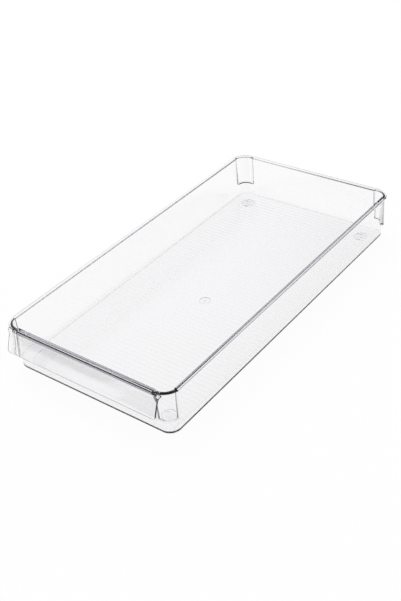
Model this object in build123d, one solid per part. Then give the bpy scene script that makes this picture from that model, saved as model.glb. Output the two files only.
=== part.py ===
from build123d import *
import os
from math import cos, radians, sin, tan

# A shallow clear tray for a fridge shelf, in millimetres, standing on +Z.
# The front, with the pull, faces -Y. The origin is on the shelf, under the middle of the whole tray.

# Tray
opening_width = 193.4  # between the side walls, at the rim
opening_length = 389.0  # between the end walls, at the rim
body_height = 50.5  # underside of the floor to the top of the rim
wall_thickness = 2.0
floor_thickness = 2.2
wall_draft = 2.3  # degrees that each wall leans outwards
corner_radius = 11.0  # inside corner, seen from above
base_round = 1.4  # outside round from floor to wall
floor_round = 1.6  # inside round from floor to wall

# Corner pockets, where the wall stands upright under the rim instead of leaning
pocket_depth = 1.2  # step outwards from the opening's outline
pocket_drop = 35.5  # top of the rim to the pocket's underside
pocket_along_side = 8.0  # inner face of the end wall to the pocket's edge on the side wall
pocket_along_end = 13.2  # inner face of the side wall to the pocket's edge on the end wall
pocket_round = 1.0  # outside edges of the pocket's underside

# Rim
rim_width = 4.9  # opening to the rim's outer edge
rim_thickness = 2.2
rim_round = 0.7

# Pull, a curved lip that hangs from the front of the rim
pull_width = 180.6
pull_reach = 8.6  # beyond the front edge of the rim
pull_drop = 22.8  # top of the rim to the pull's lower edge
pull_bow = 0.6  # how far the pull's face bulges from straight
pull_thickness = 2.0
pull_blend = 27.0  # degrees from upright at which the pull's face leaves the rim's round
pull_bed = 0.05  # how far inside the rim's round the pull's face starts
pull_root = 4.0  # top of the rim to the ceiling of the finger gap, where the pull joins the wall
pull_corner = 3.0  # rounded lower corners
pull_flare = 7.0  # hollow curve where the pull's ends run out into the rim

# Ribs across the floor
rib_pitch = 5.5
rib_width = 1.6
rib_height = 0.1
rib_margin = 3.0  # bare strip between the rib ends and the floor's inside round
rib_root = 0.5  # part of each rib that lies inside the floor

# Feet, soft pads that sit in shallow seats under the floor
foot_diameter = 15.0
foot_stand = 0.9  # shelf to the underside of the floor
foot_inset = 21.0  # foot centre to the inner face of the walls, at the rim
foot_edge = 0.5  # rounded lower edge
seat_depth = 0.5
seat_clearance = 0.2  # around the foot

# Moulding point under the floor
gate_forward = 17.0  # in front of the opening's middle
gate_diameter = 12.0
gate_depth = 0.4
gate_nub_diameter = 3.0

overcut = 1.0  # how far a cutting shape runs past the face that it opens

# Sizes that follow from those above
rim_level = foot_stand + body_height
floor_level = foot_stand + floor_thickness
half_width = opening_width / 2
half_length = opening_length / 2


def wall_section(level, growth):
    """Outline of the wall's inner face at a level, grown outwards."""
    lean = (rim_level - level) * tan(radians(wall_draft))
    width = opening_width + 2 * (growth - lean)
    length = opening_length + 2 * (growth - lean)
    return Pos(0, 0, level) * RectangleRounded(width, length, corner_radius + growth)


def wall_solid(low, high, growth, round_radius):
    """Leaning block inside the wall's grown outline, with its lower edge rounded."""
    block = loft([wall_section(low, growth), wall_section(high, growth)])
    return fillet(block.edges().group_by(Axis.Z)[0], round_radius)


def upright_solid(low, high, growth):
    """Upright block whose outline is the opening's, grown outwards."""
    width = opening_width + 2 * growth
    length = opening_length + 2 * growth
    outline = RectangleRounded(width, length, corner_radius + growth)
    return Pos(0, 0, low) * extrude(outline, high - low)


def corners(low, high, growth, skin):
    """Four corner pieces of an upright block, reaching a skin beyond the pockets' edges."""
    block = upright_solid(low, high, growth)
    inner_x = half_width - pocket_along_end - skin
    inner_y = half_length - pocket_along_side - skin
    size_x = half_width + growth + overcut - inner_x
    size_y = half_length + growth + overcut - inner_y
    size_z = high - low
    pieces = []
    for side in (-1, 1):
        for end in (-1, 1):
            place = Pos(side * (inner_x + size_x / 2), end * (inner_y + size_y / 2), low + size_z / 2)
            pieces.append(block & place * Box(size_x, size_y, size_z))
    return pieces


def make_rim():
    """Flat flange round the opening, before the opening is cut."""
    rim = upright_solid(rim_level - rim_thickness, rim_level, rim_width)
    levels = rim.edges().group_by(Axis.Z)
    return fillet(levels[0] + levels[-1], rim_round)


def pull_outline():
    """Front view of the pull, with rounded lower corners and ends that flare into the rim."""
    panel = Pos(0, rim_level - pull_drop / 2) * Rectangle(pull_width, pull_drop)
    panel = fillet(panel.vertices().group_by(Axis.Y)[0], pull_corner)
    for side in (-1, 1):
        end = side * pull_width / 2
        square = Pos(end + side * pull_flare / 2, rim_level - pull_flare / 2) * Rectangle(pull_flare, pull_flare)
        hollow = Pos(end + side * pull_flare, rim_level - pull_flare) * Circle(pull_flare)
        panel += square - hollow
    return panel


def make_root():
    """Thick root that joins the pull to the front wall, under the rim."""
    middle = -half_length - rim_width + pull_thickness / 2
    inside_wall = -half_length - wall_thickness / 2
    high = rim_level - rim_round
    low = rim_level - pull_root
    low_front = middle - pull_reach * pull_root / pull_drop
    outline = Polyline((middle, high), (low_front, low), (inside_wall, low), (inside_wall, high), close=True)
    return extrude(Plane.YZ * make_face(outline), pull_width / 2 - pull_corner, both=True)


def make_pull():
    """Curved lip in front of the rim, cut to the pull's outline."""
    rim_front = -half_length - rim_width
    blend = radians(pull_blend)
    start = rim_round - pull_bed
    top = Vector(rim_front + rim_round - start * cos(blend), rim_level - rim_round + start * sin(blend))
    foot = Vector(rim_front - pull_reach, rim_level - pull_drop)
    inwards = (foot - top).normalized().rotate(Axis.Z, 90) * pull_thickness
    face = SagittaArc(top, foot, -pull_bow)
    back = SagittaArc(top + inwards, foot + inwards, -pull_bow)
    outline = [face, Line(foot, foot + inwards), back, Line(top + inwards, top)]
    lip = extrude(Plane.YZ * make_face(outline), pull_width / 2 + pull_flare, both=True)
    return lip & extrude(Plane.XZ * pull_outline(), half_length + rim_width + pull_reach + overcut)


def make_ribs():
    """Low rounded ribs across the flat part of the floor."""
    lean = (rim_level - floor_level) * tan(radians(wall_draft))
    bare = lean + floor_round + rib_margin
    count = int((opening_length - 2 * bare) // rib_pitch)
    root = floor_level - rib_root
    profile = Sketch()
    for index in range(count + 1):
        middle = (index - count / 2) * rib_pitch
        near = middle - rib_width / 2
        far = middle + rib_width / 2
        crown = ThreePointArc((near, floor_level), (middle, floor_level + rib_height), (far, floor_level))
        sides = Polyline((far, floor_level), (far, root), (near, root), (near, floor_level))
        profile += make_face([crown, sides])
    return extrude(Plane.YZ * profile, half_width - bare, both=True)


def foot_places():
    """Names and centres of the four feet."""
    places = {}
    for side_name, side in (("left", -1), ("right", 1)):
        for end_name, end in (("front", -1), ("rear", 1)):
            centre = Pos(side * (half_width - foot_inset), end * (half_length - foot_inset), 0)
            places[f"foot_{end_name}_{side_name}"] = centre
    return places


def make_foot():
    """Soft round pad, standing on the shelf at the origin."""
    pad = extrude(Circle(foot_diameter / 2), foot_stand + seat_depth)
    return fillet(pad.edges().group_by(Axis.Z)[0], foot_edge)


def make_gate():
    """Shallow dish with a nub left standing in it."""
    dish = extrude(Circle(gate_diameter / 2), gate_depth + overcut)
    nub = extrude(Circle(gate_nub_diameter / 2), gate_depth + overcut)
    return Pos(0, -gate_forward, foot_stand - overcut) * (dish - nub)


def make_tray():
    """The whole moulding, with its opening, pockets, ribs and foot seats."""
    pocket_base = rim_level - pocket_drop
    tray = wall_solid(foot_stand, rim_level, wall_thickness, base_round)
    tray += make_rim()
    for block in corners(pocket_base, rim_level, pocket_depth + wall_thickness, wall_thickness):
        tray += fillet(block.edges().group_by(Axis.Z)[0], pocket_round)
    tray += make_pull()
    tray += make_root()
    tray -= wall_solid(floor_level, rim_level + overcut, 0, floor_round)
    for space in corners(pocket_base + wall_thickness, rim_level + overcut, pocket_depth, 0):
        tray -= space
    tray += make_ribs()
    seat = extrude(Circle(foot_diameter / 2 + seat_clearance), seat_depth + overcut)
    for centre in foot_places().values():
        tray -= centre * Pos(0, 0, foot_stand - overcut) * seat
    return tray - make_gate()


# The pull makes the front longer, so the opening's middle stands behind the origin.
whole = Pos(0, pull_reach / 2, 0)
os.makedirs("parts", exist_ok=True)
export_step(whole * make_tray(), "parts/tray.step")
for name, centre in foot_places().items():
    export_step(whole * centre * make_foot(), f"parts/{name}.step")
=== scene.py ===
"""A clear moulded tray for a fridge shelf, on four soft feet, dressed for a studio picture."""

import logging
from collections.abc import Callable, Iterator
from contextlib import contextmanager
from dataclasses import dataclass, field
from enum import Enum
from math import atan2, cos, hypot, pi, radians, sin, sqrt, tan

import bmesh
import bpy
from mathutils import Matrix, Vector


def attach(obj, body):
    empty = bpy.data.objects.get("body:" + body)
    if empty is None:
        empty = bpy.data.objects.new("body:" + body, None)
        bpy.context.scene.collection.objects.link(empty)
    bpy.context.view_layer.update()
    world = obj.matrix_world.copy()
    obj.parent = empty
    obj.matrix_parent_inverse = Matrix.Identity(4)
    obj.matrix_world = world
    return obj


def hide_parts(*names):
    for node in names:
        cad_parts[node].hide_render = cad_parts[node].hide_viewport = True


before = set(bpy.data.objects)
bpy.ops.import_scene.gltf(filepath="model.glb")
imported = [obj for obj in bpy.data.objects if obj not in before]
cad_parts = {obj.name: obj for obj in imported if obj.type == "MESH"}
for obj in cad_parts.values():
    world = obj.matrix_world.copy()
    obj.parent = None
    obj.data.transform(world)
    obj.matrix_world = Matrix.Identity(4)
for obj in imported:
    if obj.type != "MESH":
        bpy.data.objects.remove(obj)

log = logging.getLogger("fridge_tray")

MM = 0.001
BODY = "root"
NEAR = 0.02 * MM

PlaceTest = Callable[[Vector, Vector], bool]


class Facing(Enum):
    """Which side of the moulding's skin a face belongs to."""

    CAVITY = -1
    OUTSIDE = 1


class Slot(Enum):
    """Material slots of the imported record."""

    CLEAR_PLASTIC = "clear_plastic"
    SOFT_PAD = "soft_pad"


class Side(Enum):
    """Left and right of the tray, seen from its front."""

    LEFT = -1
    RIGHT = 1


class End(Enum):
    """Front, with the pull, and rear of the tray."""

    FRONT = -1
    REAR = 1


def deselect_all() -> None:
    """Deselects every object."""
    bpy.ops.object.select_all(action="DESELECT")


def make_active(piece: bpy.types.Object) -> None:
    """Selects one object alone and makes it active.

    Args:
        piece: the object to work on.
    """
    deselect_all()
    piece.select_set(True)
    bpy.context.view_layer.objects.active = piece


@contextmanager
def editing(piece: bpy.types.Object) -> Iterator[bpy.types.Object]:
    """Opens a piece in edit mode with all of it selected, and closes it afterwards.

    Args:
        piece: the object to edit.

    Returns:
        The same object, while edit mode lasts.
    """
    make_active(piece)
    bpy.ops.object.mode_set(mode="EDIT")
    bpy.ops.mesh.select_mode(type="VERT")
    bpy.ops.mesh.select_all(action="SELECT")
    yield piece
    bpy.ops.object.mode_set(mode="OBJECT")


def pick_faces(piece: bpy.types.Object, test: PlaceTest) -> int:
    """Selects the faces whose place and normal pass a test, and no others.

    Args:
        piece: an object in edit mode.
        test: takes a face's centre and normal.

    Returns:
        How many faces were selected.
    """
    bpy.ops.mesh.select_mode(type="FACE")
    bpy.ops.mesh.select_all(action="DESELECT")
    mesh = bmesh.from_edit_mesh(piece.data)
    chosen = [f for f in mesh.faces if test(f.calc_center_bounds(), f.normal)]
    for face in chosen:
        face.select_set(True)
    bmesh.update_edit_mesh(piece.data)
    return len(chosen)


def pick_points(piece: bpy.types.Object, test: Callable[[Vector], bool]) -> int:
    """Selects the vertices whose place passes a test, and no others.

    Args:
        piece: an object in edit mode.
        test: takes a vertex's place.

    Returns:
        How many vertices were selected.
    """
    bpy.ops.mesh.select_mode(type="VERT")
    bpy.ops.mesh.select_all(action="DESELECT")
    mesh = bmesh.from_edit_mesh(piece.data)
    chosen = [v for v in mesh.verts if test(v.co)]
    for point in chosen:
        point.select_set(True)
    mesh.select_flush(True)
    bmesh.update_edit_mesh(piece.data)
    return len(chosen)


def pick_edges(piece: bpy.types.Object, test: PlaceTest) -> int:
    """Selects the edges whose two ends pass a test, and no others.

    Args:
        piece: an object in edit mode.
        test: takes the places of an edge's two ends.

    Returns:
        How many edges were selected.
    """
    bpy.ops.mesh.select_mode(type="EDGE")
    bpy.ops.mesh.select_all(action="DESELECT")
    mesh = bmesh.from_edit_mesh(piece.data)
    chosen = [e for e in mesh.edges if test(e.verts[0].co, e.verts[1].co)]
    for edge in chosen:
        edge.select_set(True)
    bmesh.update_edit_mesh(piece.data)
    return len(chosen)


def keep_edges(piece: bpy.types.Object, test: PlaceTest) -> int:
    """Keeps only the selected edges whose two ends pass a test.

    Args:
        piece: an object in edit mode, with edges selected.
        test: takes the places of an edge's two ends.

    Returns:
        How many edges stay selected.
    """
    mesh = bmesh.from_edit_mesh(piece.data)
    chosen = [e for e in mesh.edges if e.select and test(e.verts[0].co, e.verts[1].co)]
    bpy.ops.mesh.select_all(action="DESELECT")
    for edge in chosen:
        edge.select_set(True)
    bmesh.update_edit_mesh(piece.data)
    return len(chosen)


def move(x: float = 0.0, y: float = 0.0, z: float = 0.0) -> None:
    """Moves what is selected in edit mode."""
    bpy.ops.transform.translate(value=(x, y, z))


def inset_and_move(thickness: float, z: float) -> None:
    """Insets the selected faces evenly and moves the new inner faces up or down.

    Args:
        thickness: width of the new band of faces.
        z: height to move the inner faces by.
    """
    bpy.ops.mesh.inset(thickness=thickness, depth=0.0, use_even_offset=True)
    move(z=z)


def apply_modifier(piece: bpy.types.Object, kind: str, **settings: object) -> None:
    """Adds a modifier, sets it and applies it.

    Args:
        piece: the object to change.
        kind: Blender's name for the kind of modifier.
        **settings: properties of the modifier.
    """
    modifier = piece.modifiers.new(kind.lower(), kind)
    for name, value in settings.items():
        setattr(modifier, name, value)
    make_active(piece)
    bpy.ops.object.modifier_apply(modifier=modifier.name)


def combine(piece: bpy.types.Object, other: bpy.types.Object, operation: str) -> None:
    """Joins a helper to a piece, or cuts the piece with it, and removes the helper.

    Args:
        piece: the object that stays.
        other: the helper.
        operation: UNION or DIFFERENCE.
    """
    apply_modifier(piece, "BOOLEAN", object=other, operation=operation, solver="EXACT")
    bpy.data.objects.remove(other)


def settle(piece: bpy.types.Object) -> None:
    """Puts a piece's turn, size and place into its mesh.

    Args:
        piece: the object to settle at the origin.
    """
    make_active(piece)
    bpy.ops.object.transform_apply(location=True, rotation=True, scale=True)


def added(name: str) -> bpy.types.Object:
    """Names the primitive that was just added.

    Args:
        name: the object's new name.

    Returns:
        The object.
    """
    piece = bpy.context.object
    piece.name = name
    piece.data.name = name
    return piece


def open_edges(piece: bpy.types.Object) -> int:
    """Counts edges that don't join exactly two faces.

    Args:
        piece: the object to look at.

    Returns:
        The number of such edges, which is 0 in a closed shell.
    """
    mesh = bmesh.new()
    mesh.from_mesh(piece.data)
    count = sum(not edge.is_manifold for edge in mesh.edges)
    mesh.free()
    return count


@dataclass
class TrayMoulding:
    """The tray: floor, leaning walls, rim, corner pockets, ribs, foot seats and gate mark."""

    opening_width: float = 193.4 * MM
    opening_length: float = 389.0 * MM
    opening_middle: float = 4.3 * MM
    rim_level: float = 51.4 * MM
    floor_level: float = 3.1 * MM
    base_level: float = 0.9 * MM
    wall_thickness: float = 2.0 * MM
    wall_draft: float = radians(2.3)
    corner_radius: float = 11.6 * MM
    corner_steps: int = 26
    base_round: float = 1.4 * MM
    floor_round: float = 0.5 * MM
    rim_width: float = 4.9 * MM
    rim_thickness: float = 2.2 * MM
    rim_round: float = 0.7 * MM
    pocket_depth: float = 1.2 * MM
    pocket_drop: float = 35.5 * MM
    pocket_along_end: float = 13.2 * MM
    pocket_side_steps: int = 4
    bulge_side_steps: int = 2
    corner_round: float = 0.55 * MM
    edge_round: float = 0.3 * MM
    sharp: float = radians(50)
    smooth_angle: float = radians(30)
    foot_inset: float = 21.0 * MM
    name: str = "tray_moulding"
    piece: bpy.types.Object = field(default=None, init=False)

    @property
    def half_width(self) -> float:
        """Half the opening's width at the rim."""
        return self.opening_width / 2

    @property
    def half_length(self) -> float:
        """Half the opening's length at the rim."""
        return self.opening_length / 2

    @property
    def rim_under(self) -> float:
        """Level of the rim's underside."""
        return self.rim_level - self.rim_thickness

    def lean(self, height: float) -> float:
        """How far a wall leans in over a height."""
        return height * tan(self.wall_draft)

    def offset(self, place: Vector) -> float:
        """How far outside the opening's outline a place is, seen from above.

        Args:
            place: a point of the tray, measured from the opening's middle.

        Returns:
            The distance from the outline, negative inside it.
        """
        past_x = abs(place.x) - (self.half_width - self.corner_radius)
        past_y = abs(place.y) - (self.half_length - self.corner_radius)
        if past_x > 0 and past_y > 0:
            return hypot(past_x, past_y) - self.corner_radius
        return max(past_x, past_y) - self.corner_radius

    def in_corner(self, place: Vector, edge_x: float, side_steps: int) -> bool:
        """Whether a place lies in the part of a corner that a pocket or bulge takes up.

        Args:
            place: a point of the tray, measured from the opening's middle.
            edge_x: distance from the middle at which that part starts on the end wall.
            side_steps: steps of the corner's arc before that part starts on the side wall.

        Returns:
            True inside the part.
        """
        past_x = abs(place.x) - (self.half_width - self.corner_radius)
        past_y = abs(place.y) - (self.half_length - self.corner_radius)
        start = side_steps * pi / 2 / self.corner_steps
        return past_y > 0 and abs(place.x) > edge_x - NEAR and atan2(past_y, past_x) > start - 0.001

    def faces(self, place: Vector, normal: Vector, facing: Facing) -> bool:
        """Whether a corner face looks into the cavity and up, or outwards and down.

        Args:
            place: the face's centre, measured from the opening's middle.
            normal: the face's normal.
            facing: the side that is asked for.

        Returns:
            True if the face is on that side.
        """
        past_x = abs(place.x) - (self.half_width - self.corner_radius)
        past_y = abs(place.y) - (self.half_length - self.corner_radius)
        sign_x = 1 if place.x > 0 else -1
        sign_y = 1 if place.y > 0 else -1
        away = Vector((max(past_x, 0) * sign_x, max(past_y, 0) * sign_y, 0))
        return facing.value * (away.normalized().dot(normal) - normal.z) > 0.5

    def foot_places(self) -> Iterator[tuple[str, float, float]]:
        """Goes through the feet.

        Returns:
            The name of each foot's node, and its place measured from the opening's middle.
        """
        for side in Side:
            for end in End:
                node = f"foot_{end.name.lower()}_{side.name.lower()}"
                x = side.value * (self.half_width - self.foot_inset)
                yield node, x, end.value * (self.half_length - self.foot_inset)

    def build(self) -> bpy.types.Object:
        """Models the whole moulding.

        Returns:
            The finished object.
        """
        self.piece = self.rim_slab()
        self.hollow()
        self.shell_outside()
        self.corner_pockets()
        self.corner_bulges()
        self.soften_edges()
        self.join_details()
        return self.piece

    def join_details(self) -> None:
        """Joins the pull and ribs, cuts the foot seats and gate mark, and sets all in its place."""
        pull = FrontPull()
        combine(self.piece, pull.build(), "UNION")
        combine(self.piece, pull.build_root(), "UNION")
        combine(self.piece, FloorRibs().build(), "UNION")
        for _, x, y in self.foot_places():
            combine(self.piece, FootSeat(x, y).build(), "DIFFERENCE")
        combine(self.piece, GateMark().build(), "DIFFERENCE")
        with editing(self.piece):
            move(y=self.opening_middle)

    def dress(self, finish: bpy.types.Material) -> None:
        """Smooths the moulding, gives it its finish, hangs it on the body and hides the CAD tray that it
        replaces.

        Args:
            finish: the clear plastic.
        """
        make_active(self.piece)
        bpy.ops.object.shade_smooth_by_angle(angle=self.smooth_angle)
        self.piece.data.materials.clear()
        self.piece.data.materials.append(finish)
        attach(self.piece, BODY)
        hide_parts("tray")

    def rim_slab(self) -> bpy.types.Object:
        """Starts with a rounded slab as large as the rim.

        Returns:
            The slab.
        """
        deselect_all()
        bpy.ops.mesh.primitive_plane_add(size=1)
        slab = added(self.name)
        width = self.opening_width + 2 * self.rim_width
        length = self.opening_length + 2 * self.rim_width
        pocket_x = self.half_width - self.pocket_along_end
        bulge_x = pocket_x - self.wall_thickness
        with editing(slab):
            bpy.ops.transform.resize(value=(width, length, 1))
            move(z=self.rim_under)
            radius = self.corner_radius + self.rim_width
            bpy.ops.mesh.bevel(offset=radius, segments=self.corner_steps, affect="VERTICES")
            for cut in (-pocket_x, -bulge_x, bulge_x, pocket_x):
                bpy.ops.mesh.select_all(action="SELECT")
                bpy.ops.mesh.bisect(plane_co=(cut, 0, 0), plane_no=(1, 0, 0))
            bpy.ops.mesh.select_all(action="SELECT")
            rise = (0, 0, self.rim_thickness)
            bpy.ops.mesh.extrude_region_move(TRANSFORM_OT_translate={"value": rise})
            bpy.ops.mesh.region_to_loop()
            bpy.ops.mesh.bevel(offset=self.rim_round, segments=4, affect="EDGES")
            bpy.ops.mesh.select_all(action="SELECT")
            bpy.ops.mesh.normals_make_consistent(inside=False)
        return slab

    def hollow(self) -> None:
        """Insets the rim's top and sinks the cavity down to the rounded floor."""
        pocket_floor = self.rim_level - self.pocket_drop + self.wall_thickness
        upper = self.rim_level - pocket_floor
        lower = pocket_floor - self.floor_level
        with editing(self.piece):
            pick_faces(self.piece, lambda c, n: c.z > self.rim_level - NEAR and n.z > 0.9)
            inset_and_move(self.rim_width - self.pocket_depth - self.rim_round, 0)
            inset_and_move(self.pocket_depth, 0)
            inset_and_move(self.lean(upper), -upper)
            inset_and_move(self.lean(lower), -lower)
            bpy.ops.mesh.region_to_loop()
            bpy.ops.mesh.bevel(offset=self.floor_round, segments=5, affect="EDGES")

    def shell_outside(self) -> None:
        """Insets the rim's underside and draws the outer walls down to the rounded base."""
        bulge_base = self.rim_level - self.pocket_drop
        upper = self.rim_under - bulge_base
        lower = bulge_base - self.base_level
        bulge_out = self.pocket_depth + self.wall_thickness
        with editing(self.piece):
            pick_faces(self.piece, lambda c, n: abs(c.z - self.rim_under) < NEAR and n.z < -0.9)
            inset_and_move(self.rim_width - bulge_out, 0)
            inset_and_move(self.pocket_depth + self.lean(self.rim_thickness), 0)
            inset_and_move(self.lean(upper), -upper)
            inset_and_move(self.lean(lower), -lower)
            bpy.ops.mesh.region_to_loop()
            bpy.ops.mesh.bevel(offset=self.base_round, segments=6, affect="EDGES")

    def open_corner(
        self, facing: Facing, upper: float, lower: float, outline: float, edge_x: float, steps: int
    ) -> None:
        """Cuts the wall out of each corner and rebuilds it as an upright step.

        Args:
            facing: the side of the skin that the step is in.
            upper: level at which the step starts.
            lower: level of the step's floor.
            outline: how far outside the opening's outline the upright wall stands.
            edge_x: distance from the middle at which the step starts on the end wall.
            steps: steps of the corner's arc before the step starts on the side wall.
        """
        low, high = min(upper, lower), max(upper, lower)

        def inside(place: Vector) -> bool:
            return self.in_corner(place, edge_x, steps)

        def wall_face(centre: Vector, normal: Vector) -> bool:
            level = low - NEAR < centre.z < high + NEAR
            zone = inside(centre) and self.offset(centre) < outline - NEAR
            return level and zone and self.faces(centre, normal, facing)

        def top_edge(a: Vector, b: Vector) -> bool:
            level = max(abs(a.z - upper), abs(b.z - upper)) < NEAR
            reach = max(abs(self.offset(a) - outline), abs(self.offset(b) - outline)) < NEAR
            return level and reach and inside((a + b) / 2)

        with editing(self.piece):
            count = pick_faces(self.piece, wall_face)
            bpy.ops.mesh.delete(type="FACE")
            edges = pick_edges(self.piece, top_edge)
            log.info("corner step at %.1f mm: %d faces out, %d edges", upper / MM, count, edges)
            bpy.ops.mesh.extrude_edges_move(TRANSFORM_OT_translate={"value": (0, 0, lower - upper)})
            for side in Side:
                for end in End:
                    pick_edges(self.piece, lambda a, b: (
                        max(abs(a.z - lower), abs(b.z - lower)) < NEAR
                        and a.x * side.value > 0 and a.y * end.value > 0
                        and abs(self.offset(a) - self.offset(b)) < NEAR
                        and inside((a + b) / 2)
                    ))
                    bpy.ops.mesh.bridge_edge_loops()
            bpy.ops.mesh.select_all(action="SELECT")
            bpy.ops.mesh.fill_holes(sides=4)
            bpy.ops.mesh.select_all(action="SELECT")
            bpy.ops.mesh.normals_make_consistent(inside=False)

    def corner_pockets(self) -> None:
        """Steps the cavity out at each corner, from the top of the rim."""
        self.open_corner(
            facing=Facing.CAVITY,
            upper=self.rim_level,
            lower=self.rim_level - self.pocket_drop + self.wall_thickness,
            outline=self.pocket_depth,
            edge_x=self.half_width - self.pocket_along_end,
            steps=self.pocket_side_steps,
        )

    def corner_bulges(self) -> None:
        """Steps the outer wall out round each pocket, flush with the rim's edge."""
        self.open_corner(
            facing=Facing.OUTSIDE,
            upper=self.rim_under,
            lower=self.rim_level - self.pocket_drop,
            outline=self.pocket_depth + self.wall_thickness,
            edge_x=self.half_width - self.pocket_along_end - self.wall_thickness,
            steps=self.bulge_side_steps,
        )

    def soften_edges(self) -> None:
        """Rounds the corner steps widely, and then every other edge that is still sharp."""
        top = self.rim_under - NEAR

        def below_rim(a: Vector, b: Vector) -> bool:
            reach = max(self.offset(a), self.offset(b))
            return min(a.z, b.z) < top and reach < self.rim_width - self.rim_round

        with editing(self.piece):
            bpy.ops.mesh.select_mode(type="EDGE")
            bpy.ops.mesh.select_all(action="DESELECT")
            bpy.ops.mesh.edges_select_sharp(sharpness=self.sharp)
            keep_edges(self.piece, below_rim)
            bpy.ops.mesh.bevel(offset=self.corner_round, segments=4, affect="EDGES")
            bpy.ops.mesh.select_all(action="DESELECT")
            bpy.ops.mesh.edges_select_sharp(sharpness=self.sharp)
            bpy.ops.mesh.bevel(offset=self.edge_round, segments=3, affect="EDGES")


@dataclass
class FrontPull:
    """The curved lip that hangs from the front of the rim, modelled flat and then turned into place."""

    rim_front: float = -199.4 * MM
    rim_level: float = 51.4 * MM
    rim_round: float = 0.7 * MM
    width: float = 180.6 * MM
    reach: float = 8.6 * MM
    drop: float = 22.8 * MM
    bow: float = 0.6 * MM
    blend: float = radians(27.0)
    thickness: float = 2.0 * MM
    corner: float = 3.0 * MM
    corner_steps: int = 8
    flare: float = 7.0 * MM
    flare_reach: float = 2.7 * MM
    row_height: float = 1.5 * MM
    edge_round: float = 0.5 * MM
    sharp: float = radians(50)
    root_drop: float = 4.0 * MM
    root_width: float = 174.6 * MM
    root_front: float = 1.0 * MM
    root_back: float = 3.9 * MM
    root_round: float = 0.4 * MM
    name: str = "front_pull"

    @property
    def start(self) -> Vector:
        """Where the pull's face leaves the rim's round."""
        back = self.rim_round * (1 - cos(self.blend))
        down = self.rim_round * (1 - sin(self.blend))
        return Vector((0, self.rim_front + back, self.rim_level - down))

    @property
    def hang(self) -> Vector:
        """From the start of the pull's face to its lower edge."""
        return Vector((0, self.rim_front - self.reach, self.rim_level - self.drop)) - self.start

    def flare_at(self, along: float) -> float:
        """How much wider than the panel the pull is at a distance down its face.

        Args:
            along: distance from the start of the face.

        Returns:
            The extra width on each side.
        """
        down = self.rim_level - self.start.z - along * self.hang.z / self.hang.length
        if down >= self.flare:
            return 0.0
        return min(self.flare - sqrt(self.flare**2 - (self.flare - down) ** 2), self.flare_reach)

    def build(self) -> bpy.types.Object:
        """Models the lip as a closed solid that reaches into the rim.

        Returns:
            The lip, settled in its place.
        """
        length = self.hang.length
        deselect_all()
        bpy.ops.mesh.primitive_plane_add(size=1)
        lip = added(self.name)
        with editing(lip):
            bpy.ops.transform.resize(value=(self.width, length, 1))
            move(y=-length / 2)
            pick_points(lip, lambda p: p.y < -length / 2)
            bpy.ops.mesh.bevel(offset=self.corner, segments=self.corner_steps, affect="VERTICES")
            rows = int((length - self.corner) / self.row_height)
            for row in range(1, rows):
                bpy.ops.mesh.select_all(action="SELECT")
                bpy.ops.mesh.bisect(plane_co=(0, -row * self.row_height, 0), plane_no=(0, 1, 0))
        levels = sorted({round(v.co.y / NEAR) * NEAR for v in lip.data.vertices})
        with editing(lip):
            for level in levels:
                share = -level / length
                pick_points(lip, lambda p: abs(p.y - level) < NEAR)
                move(z=4 * self.bow * share * (1 - share))
                extra = self.flare_at(-level)
                if extra > 0:
                    widen = 1 + 2 * extra / self.width
                    bpy.ops.transform.resize(value=(widen, 1, 1), center_override=(0, level, 0))
        apply_modifier(lip, "SOLIDIFY", thickness=self.thickness, offset=-1, use_even_offset=True)
        apply_modifier(
            lip, "BEVEL", width=self.edge_round, segments=3, limit_method="ANGLE", angle_limit=self.sharp
        )
        lip.location = self.start
        lip.rotation_euler.x = atan2(-self.hang.z, -self.hang.y)
        settle(lip)
        return lip

    def build_root(self) -> bpy.types.Object:
        """Models the thick root between the pull and the front wall, under the rim.

        Returns:
            The root, in its place.
        """
        depth = self.root_back - self.root_front
        height = self.root_drop - self.rim_round
        middle = self.rim_front + (self.root_back + self.root_front) / 2
        deselect_all()
        level = self.rim_level - self.rim_round - height / 2
        bpy.ops.mesh.primitive_cube_add(size=1, location=(0, middle, level))
        root = added("pull_root")
        root.scale = (self.root_width, depth, height)
        settle(root)
        with editing(root):
            pick_points(root, lambda p: p.y < middle and p.z < self.rim_level - self.root_drop + NEAR)
            move(y=-self.reach * self.root_drop / self.drop)
        apply_modifier(root, "BEVEL", width=self.root_round, segments=3)
        return root


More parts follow.
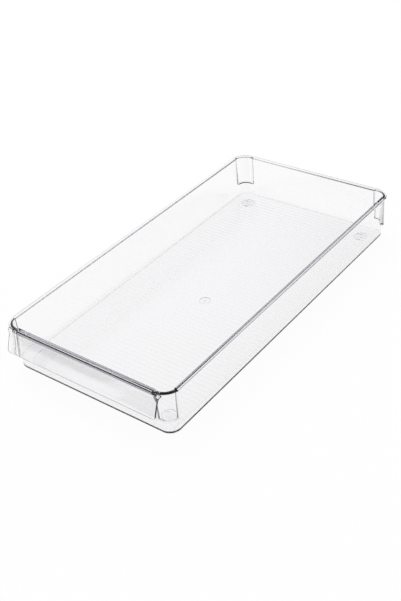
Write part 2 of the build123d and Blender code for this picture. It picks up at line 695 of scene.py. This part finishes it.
@dataclass
class FloorRibs:
    """Low rounded ribs across the floor."""

    floor_level: float = 3.1 * MM
    half_span: float = 90.16 * MM
    pitch: float = 5.5 * MM
    count: int = 69
    width: float = 1.6 * MM
    height: float = 0.1 * MM
    sides: int = 90
    end_slope: float = 0.5 * MM
    end_inset: float = 0.6
    end_shares: tuple[float, float] = (0.7, 0.3)
    root: float = 0.5 * MM
    name: str = "floor_ribs"

    def build(self) -> bpy.types.Object:
        """Models one rib as a bar that is mostly sunk in the floor, and repeats it.

        Returns:
            The ribs as one object.
        """
        radius = ((self.width / 2) ** 2 + self.height**2) / (2 * self.height)
        first = -self.pitch * (self.count - 1) / 2
        middle = self.floor_level + self.height - radius
        deselect_all()
        bpy.ops.mesh.primitive_cylinder_add(
            vertices=self.sides,
            radius=radius,
            depth=2 * (self.half_span - self.end_slope),
            location=(0, first, middle),
            rotation=(0, pi / 2, 0),
        )
        ribs = added(self.name)
        settle(ribs)
        with editing(ribs):
            for side in Side:
                pick_faces(ribs, lambda c, n: n.x * side.value > 0.9)
                for share in self.end_shares:
                    bpy.ops.mesh.inset(thickness=self.height * self.end_inset)
                    move(x=side.value * self.end_slope * share)
            bpy.ops.mesh.select_all(action="SELECT")
            bpy.ops.mesh.bisect(
                plane_co=(0, 0, self.floor_level - self.root),
                plane_no=(0, 0, 1),
                use_fill=True,
                clear_inner=True,
            )
        apply_modifier(
            ribs,
            "ARRAY",
            count=self.count,
            use_relative_offset=False,
            use_constant_offset=True,
            constant_offset_displace=(0, self.pitch, 0),
        )
        return ribs


@dataclass
class FootSeat:
    """Round recess under the floor that a foot sits in."""

    x: float
    y: float
    radius: float = 7.7 * MM
    ceiling: float = 1.4 * MM
    below: float = -1.0 * MM
    sides: int = 72
    edge_round: float = 0.45 * MM

    def build(self) -> bpy.types.Object:
        """Models the cutter for the recess, with a soft upper edge.

        Returns:
            The cutter.
        """
        deselect_all()
        bpy.ops.mesh.primitive_cylinder_add(
            vertices=self.sides,
            radius=self.radius,
            depth=self.ceiling - self.below,
            location=(self.x, self.y, (self.ceiling + self.below) / 2),
        )
        cutter = added("foot_seat")
        settle(cutter)
        with editing(cutter):
            pick_edges(cutter, lambda a, b: min(a.z, b.z) > self.ceiling - NEAR)
            bpy.ops.mesh.bevel(offset=self.edge_round, segments=6, affect="EDGES")
        return cutter


@dataclass
class GateMark:
    """Shallow dish with a nub in it, under the floor, where the plastic came in."""

    y: float = -17.0 * MM
    radius: float = 6.0 * MM
    nub_radius: float = 1.5 * MM
    nub_slope: float = 0.1 * MM
    nub_height: float = 0.32 * MM
    edge_round: float = 0.3 * MM
    ceiling: float = 1.3 * MM
    below: float = -1.0 * MM
    sides: int = 64

    def build(self) -> bpy.types.Object:
        """Models the cutter for the dish.

        Returns:
            The cutter.
        """
        deselect_all()
        bpy.ops.mesh.primitive_cylinder_add(
            vertices=self.sides,
            radius=self.radius,
            depth=self.ceiling - self.below,
            location=(0, self.y, (self.ceiling + self.below) / 2),
        )
        cutter = added("gate_mark")
        settle(cutter)
        with editing(cutter):
            pick_edges(cutter, lambda a, b: min(a.z, b.z) > self.ceiling - NEAR)
            bpy.ops.mesh.bevel(offset=self.edge_round, segments=4, affect="EDGES")
            pick_faces(cutter, lambda c, n: n.z > 0.99)
            inset_and_move(self.radius - self.edge_round - self.nub_radius, 0)
            inset_and_move(self.nub_slope, -self.nub_height)
        return cutter


@dataclass
class FootPad:
    """Soft round pad that stands on the shelf and sits in a seat under the floor."""

    node: str
    x: float
    y: float
    radius: float = 7.5 * MM
    top: float = 1.37 * MM
    sides: int = 72
    edge_round: float = 0.45 * MM
    top_round: float = 0.15 * MM
    sole_steps: tuple[tuple[float, float], ...] = (
        (1.4 * MM, 0.0), (0.3 * MM, 0.15 * MM), (1.2 * MM, 0.05 * MM), (2.0 * MM, 0.03 * MM)
    )
    smooth_angle: float = radians(35)
    piece: bpy.types.Object = field(default=None, init=False)

    def build(self) -> bpy.types.Object:
        """Models the pad with a rounded lower edge and a dished sole.

        Returns:
            The pad.
        """
        deselect_all()
        bpy.ops.mesh.primitive_cylinder_add(
            vertices=self.sides,
            radius=self.radius,
            depth=self.top,
            location=(self.x, self.y, self.top / 2),
        )
        pad = added(f"{self.node}_pad")
        settle(pad)
        with editing(pad):
            pick_edges(pad, lambda a, b: max(a.z, b.z) < NEAR)
            bpy.ops.mesh.bevel(offset=self.edge_round, segments=5, affect="EDGES")
            pick_edges(pad, lambda a, b: min(a.z, b.z) > self.top - NEAR)
            bpy.ops.mesh.bevel(offset=self.top_round, segments=2, affect="EDGES")
            pick_faces(pad, lambda c, n: n.z < -0.99)
            for width, rise in self.sole_steps:
                inset_and_move(width, rise)
        self.piece = pad
        return pad

    def dress(self, finish: bpy.types.Material) -> None:
        """Smooths the pad, gives it its finish, hangs it on the body and hides the CAD foot that it
        replaces.

        Args:
            finish: the soft pad's material.
        """
        make_active(self.piece)
        bpy.ops.object.shade_smooth_by_angle(angle=self.smooth_angle)
        self.piece.data.materials.clear()
        self.piece.data.materials.append(finish)
        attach(self.piece, BODY)
        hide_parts(self.node)


@dataclass
class PhotoCamera:
    """Camera that stands where the picture was taken from."""

    place: tuple[float, float, float] = (0.50760, -0.62487, 0.57129)
    turn_degrees: tuple[float, float, float] = (54.3134, 4.6170, 36.6916)
    focal_pixels: float = 936.0
    picture_height: float = 601.0
    sensor: float = 36.0

    def build(self) -> bpy.types.Object:
        """Adds the camera and makes it the scene's own.

        Returns:
            The camera.
        """
        bpy.ops.object.camera_add(location=self.place, rotation=[radians(a) for a in self.turn_degrees])
        camera = bpy.context.object
        camera.name = "photo_camera"
        camera.data.sensor_width = self.sensor
        camera.data.lens = self.focal_pixels / self.picture_height * self.sensor
        camera.data.clip_start = 0.01
        bpy.context.scene.camera = camera
        return camera


class NodeBench:
    """Adds and joins the nodes of one material or world."""

    def __init__(self, owner: bpy.types.ID) -> None:
        """Starts with an empty node tree.

        Args:
            owner: a material or a world.
        """
        owner.use_nodes = True
        self.tree = owner.node_tree
        self.tree.nodes.clear()

    def add(
        self, kind: str, settings: dict[str, object] | None = None, **inputs: object
    ) -> bpy.types.Node:
        """Adds a node and sets its sockets.

        Args:
            kind: the node's type name, without the ShaderNode that it starts with.
            settings: properties of the node itself.
            **inputs: a value or a source socket for each input, by its name with _ for a space.

        Returns:
            The new node.
        """
        node = self.tree.nodes.new("ShaderNode" + kind)
        for name, value in (settings or {}).items():
            setattr(node, name, value)
        for name, value in inputs.items():
            socket = node.inputs[name.replace("_", " ")]
            if isinstance(value, bpy.types.NodeSocket):
                self.tree.links.new(value, socket)
            else:
                socket.default_value = value
        return node

    def join(self, source: bpy.types.NodeSocket, target: bpy.types.NodeSocket) -> None:
        """Joins an output socket to an input socket."""
        self.tree.links.new(source, target)


@dataclass(frozen=True)
class ClearPlastic:
    """Polished clear plastic with a faint cool grey tint, flow waves and fine handling marks."""

    tint: tuple[float, float, float, float] = (0.20, 0.20, 0.27, 1.0)
    density: float = 15.0
    ior: float = 1.55
    smooth: float = 0.004
    worn: float = 0.03
    scuffed: float = 0.6
    scuff_height: float = 3.1 * MM
    scuff_fade: float = 0.4 * MM
    flat_range: tuple[float, float] = (0.95, 0.99)
    haze_scale: float = 45.0
    haze_range: tuple[float, float] = (0.35, 0.75)
    flow_scale: float = 14.0
    flow_depth: float = 0.00004
    mark_scale: float = 900.0
    mark_depth: float = 0.000002
    name: str = "clear_moulded_plastic"

    def make(self) -> bpy.types.Material:
        """Makes the material.

        Returns:
            A clear material with its detail from nodes.
        """
        material = bpy.data.materials.new(self.name)
        bench = NodeBench(material)
        coordinates = bench.add("TexCoord")
        place = coordinates.outputs["Object"]
        haze = bench.add("TexNoise", Vector=place, Scale=self.haze_scale, Detail=3.0, Roughness=0.6)
        haze_low, haze_high = self.haze_range
        rough = bench.add(
            "MapRange",
            Value=haze.outputs["Fac"],
            From_Min=haze_low,
            From_Max=haze_high,
            To_Min=self.smooth,
            To_Max=self.worn,
        )
        split = bench.add("SeparateXYZ", Vector=place)
        low = bench.add(
            "MapRange",
            Value=split.outputs["Z"],
            From_Min=self.scuff_height - self.scuff_fade,
            From_Max=self.scuff_height,
            To_Min=self.scuffed,
            To_Max=0.0,
        )
        facing = bench.add("SeparateXYZ", Vector=coordinates.outputs["Normal"])
        level = bench.add("Math", {"operation": "ABSOLUTE"})
        bench.join(facing.outputs["Z"], level.inputs[0])
        steep_end, flat_start = self.flat_range
        steep = bench.add(
            "MapRange",
            Value=level.outputs["Value"],
            From_Min=steep_end,
            From_Max=flat_start,
            To_Min=1.0,
            To_Max=0.0,
        )
        edge = bench.add("Math", {"operation": "MULTIPLY"})
        bench.join(low.outputs["Result"], edge.inputs[0])
        bench.join(steep.outputs["Result"], edge.inputs[1])
        skin = bench.add("Math", {"operation": "MAXIMUM"})
        bench.join(rough.outputs["Result"], skin.inputs[0])
        bench.join(edge.outputs["Value"], skin.inputs[1])
        along = bench.add("Mapping", Vector=place, Scale=(1.0, 0.35, 1.0))
        flow = bench.add("TexNoise", Vector=along.outputs["Vector"], Scale=self.flow_scale, Detail=1.0)
        waves = bench.add("Bump", Height=flow.outputs["Fac"], Strength=1.0, Distance=self.flow_depth)
        streak = bench.add("Mapping", Vector=place, Rotation=(0.0, 0.0, 0.35), Scale=(1.0, 0.04, 1.0))
        marks = bench.add("TexNoise", Vector=streak.outputs["Vector"], Scale=self.mark_scale, Detail=2.0)
        scuffs = bench.add(
            "Bump",
            Height=marks.outputs["Fac"],
            Strength=1.0,
            Distance=self.mark_depth,
            Normal=waves.outputs["Normal"],
        )
        shader = bench.add(
            "BsdfPrincipled",
            Base_Color=(1.0, 1.0, 1.0, 1.0),
            Roughness=skin.outputs["Value"],
            IOR=self.ior,
            Transmission_Weight=1.0,
            Normal=scuffs.outputs["Normal"],
        )
        body = bench.add("VolumeAbsorption", Color=self.tint, Density=self.density)
        bench.add("OutputMaterial", Surface=shader.outputs["BSDF"], Volume=body.outputs["Volume"])
        return material


@dataclass(frozen=True)
class SoftPadFinish:
    """Clear soft pad with a satin, faintly grained skin."""

    color: tuple[float, float, float, float] = (0.98, 0.98, 0.985, 1.0)
    ior: float = 1.41
    transmission: float = 1.0
    satin: float = 0.06
    matt: float = 0.18
    grain_scale: float = 700.0
    grain_depth: float = 0.00002
    name: str = "clear_soft_pad"

    def make(self) -> bpy.types.Material:
        """Makes the material.

        Returns:
            A translucent satin material.
        """
        material = bpy.data.materials.new(self.name)
        bench = NodeBench(material)
        place = bench.add("TexCoord").outputs["Object"]
        grain = bench.add("TexNoise", Vector=place, Scale=self.grain_scale, Detail=2.0)
        rough = bench.add("MapRange", Value=grain.outputs["Fac"], To_Min=self.satin, To_Max=self.matt)
        skin = bench.add("Bump", Height=grain.outputs["Fac"], Strength=1.0, Distance=self.grain_depth)
        shader = bench.add(
            "BsdfPrincipled",
            Base_Color=self.color,
            Roughness=rough.outputs["Result"],
            IOR=self.ior,
            Transmission_Weight=self.transmission,
            Normal=skin.outputs["Normal"],
        )
        bench.add("OutputMaterial", Surface=shader.outputs["BSDF"])
        return material


@dataclass
class Studio:
    """Pale floor, white surround, a shaded dome of painted reflections and one soft lamp."""

    floor_size: float = 12.0
    floor_color: tuple[float, float, float, float] = (0.92, 0.92, 0.93, 1.0)
    floor_white: float = 0.95
    ambient: float = 0.8
    lamp_place: tuple[float, float, float] = (-0.9, 0.5, 1.4)
    lamp_size: float = 1.2
    lamp_watts: float = 10.0
    dome_radius: float = 1.2
    # painted reflection: the dome's glow by elevation, pale at the horizon and dark above it, which
    # paints dark lines into the clear plastic's rims and edges
    painted_reflection_tones: tuple[tuple[float, float], ...] = (
        (0.0, 0.95), (18.0, 0.9), (26.0, 0.45), (34.0, 0.2),
        (44.0, 0.15), (47.0, 0.03), (75.0, 0.03), (90.0, 0.4),
    )
    # painted reflection tint: makes the dome's glow slightly blue
    cool: float = 1.1
    # painted highlight: a lighter glowing panel on the dome's left side, towards the lamp, fading in
    # between these two shares of the radius
    painted_highlight_start: float = -0.15
    painted_highlight_full: float = -0.55
    painted_highlight_tones: tuple[tuple[float, float], ...] = (
        (0.0, 1.0), (26.0, 0.94), (34.0, 0.9), (44.0, 0.88), (50.0, 0.32), (75.0, 0.25), (90.0, 0.5)
    )

    def seen_rays(self, bench: NodeBench) -> bpy.types.NodeSocket:
        """Tells rays that show the surround itself from rays that only light things.

        Args:
            bench: the nodes to add to.

        Returns:
            1 for camera rays and for what gloss and clear plastic show, otherwise 0.
        """
        rays = bench.add("LightPath")
        shown = bench.add("Math", {"operation": "MAXIMUM"})
        bench.join(rays.outputs["Is Camera Ray"], shown.inputs[0])
        bench.join(rays.outputs["Is Glossy Ray"], shown.inputs[1])
        every = bench.add("Math", {"operation": "MAXIMUM"})
        bench.join(shown.outputs["Value"], every.inputs[0])
        bench.join(rays.outputs["Is Transmission Ray"], every.inputs[1])
        return every.outputs["Value"]

    def build_floor(self) -> bpy.types.Object:
        """Lays the floor.

        Returns:
            The floor.
        """
        deselect_all()
        bpy.ops.mesh.primitive_plane_add(size=self.floor_size)
        floor = added("studio_floor")
        material = bpy.data.materials.new("studio_floor")
        bench = NodeBench(material)
        seen = self.seen_rays(bench)
        share = bench.add("Math", {"operation": "MULTIPLY"})
        bench.join(seen, share.inputs[0])
        share.inputs[1].default_value = self.floor_white
        paint = bench.add("BsdfDiffuse", Color=self.floor_color)
        white = bench.add("Emission", Color=(1.0, 1.0, 1.0, 1.0), Strength=1.0)
        mix = bench.add("MixShader", Fac=share.outputs["Value"])
        bench.join(paint.outputs["BSDF"], mix.inputs[1])
        bench.join(white.outputs["Emission"], mix.inputs[2])
        bench.add("OutputMaterial", Surface=mix.outputs["Shader"])
        floor.data.materials.append(material)
        return floor

    def build_surround(self) -> None:
        """Makes the world white where it is seen, and a soft even light elsewhere."""
        world = bpy.data.worlds.new("studio_surround")
        bench = NodeBench(world)
        light = bench.add("Background", Color=(1.0, 1.0, 1.0, 1.0), Strength=self.ambient)
        white = bench.add("Background", Color=(1.0, 1.0, 1.0, 1.0), Strength=1.0)
        mix = bench.add("MixShader", Fac=self.seen_rays(bench))
        bench.join(light.outputs["Background"], mix.inputs[1])
        bench.join(white.outputs["Background"], mix.inputs[2])
        bench.add("OutputWorld", Surface=mix.outputs["Shader"])
        bpy.context.scene.world = world

    def build_painted_reflection_dome(self) -> bpy.types.Object:
        """Stands a glowing dome over the floor, which only gloss and clear plastic show: painted
        reflections whose dark bands paint shade into the plastic's rims and edges.

        Returns:
            The dome.
        """
        deselect_all()
        bpy.ops.mesh.primitive_uv_sphere_add(segments=64, ring_count=32, radius=self.dome_radius)
        dome = added("painted_reflection_dome")
        with editing(dome):
            bpy.ops.mesh.bisect(plane_co=(0, 0, 0), plane_no=(0, 0, 1), clear_inner=True)
        make_active(dome)
        bpy.ops.object.shade_smooth()
        material = bpy.data.materials.new("painted_reflection_dome")
        bench = NodeBench(material)
        place = bench.add("TexCoord").outputs["Object"]
        split = bench.add("SeparateXYZ", Vector=place)
        share = bench.add("MapRange", Value=split.outputs["Z"], From_Max=self.dome_radius)
        # painted highlight: how much of the lighter left panel shows, from the dome's x
        painted_highlight_share = bench.add(
            "MapRange",
            {"interpolation_type": "SMOOTHSTEP"},
            Value=split.outputs["X"],
            From_Min=self.painted_highlight_full * self.dome_radius,
            From_Max=self.painted_highlight_start * self.dome_radius,
            To_Min=1.0,
            To_Max=0.0,
        )
        paint = bench.add("MixShader", Fac=painted_highlight_share.outputs["Result"])
        # painted shade and highlight: glow tones by elevation, set on the dome's emission
        for tones, socket in ((self.painted_reflection_tones, paint.inputs[1]), (self.painted_highlight_tones, paint.inputs[2])):
            ramp = bench.add("ValToRGB", Fac=share.outputs["Result"])
            points = ramp.color_ramp.elements
            while len(points) < len(tones):
                points.new(0.5)
            for point, (elevation, tone) in zip(points, tones):
                point.position = sin(radians(elevation))
                point.color = (tone, tone, min(tone * self.cool, 1.0), 1.0)
            glow = bench.add("Emission", Color=ramp.outputs["Color"], Strength=1.0)
            bench.join(glow.outputs["Emission"], socket)
        bench.add("OutputMaterial", Surface=paint.outputs["Shader"])
        dome.data.materials.append(material)
        # hidden from the camera, from lit surfaces and from shadows, so the dome shows only as painted
        # reflections in gloss and clear plastic
        dome.visible_camera = False
        dome.visible_diffuse = False
        dome.visible_shadow = False
        return dome

    def build_lamp(self) -> None:
        """Hangs a square soft lamp that faces the tray."""
        bpy.ops.object.light_add(type="AREA", location=self.lamp_place)
        lamp = bpy.context.object
        lamp.name = "key_lamp"
        lamp.data.shape = "SQUARE"
        lamp.data.size = self.lamp_size
        lamp.data.energy = self.lamp_watts
        lamp.rotation_euler = (-Vector(self.lamp_place)).to_track_quat("-Z", "Y").to_euler()

    def build(self) -> None:
        """Builds the whole studio."""
        self.build_floor()
        self.build_surround()
        # painted reflections and painted shade for the clear plastic
        self.build_painted_reflection_dome()
        self.build_lamp()


def report(piece: bpy.types.Object) -> None:
    """Logs a finished piece.

    Args:
        piece: the piece to report.
    """
    log.info("%s: %d faces, %d open edges", piece.name, len(piece.data.polygons), open_edges(piece))


def main() -> None:
    """Builds the tray, its feet, the camera and the studio."""
    logging.basicConfig(level=logging.INFO, format="%(name)s: %(message)s")
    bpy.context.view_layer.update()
    bpy.context.scene.view_settings.view_transform = "Standard"
    tray = TrayMoulding()
    report(tray.build())
    tray.dress(ClearPlastic().make())
    pad_finish = SoftPadFinish().make()
    for node, x, y in tray.foot_places():
        foot = FootPad(node, x, y + tray.opening_middle)
        report(foot.build())
        foot.dress(pad_finish)
    PhotoCamera().build()
    Studio().build()


if __name__ == "__main__":
    main()
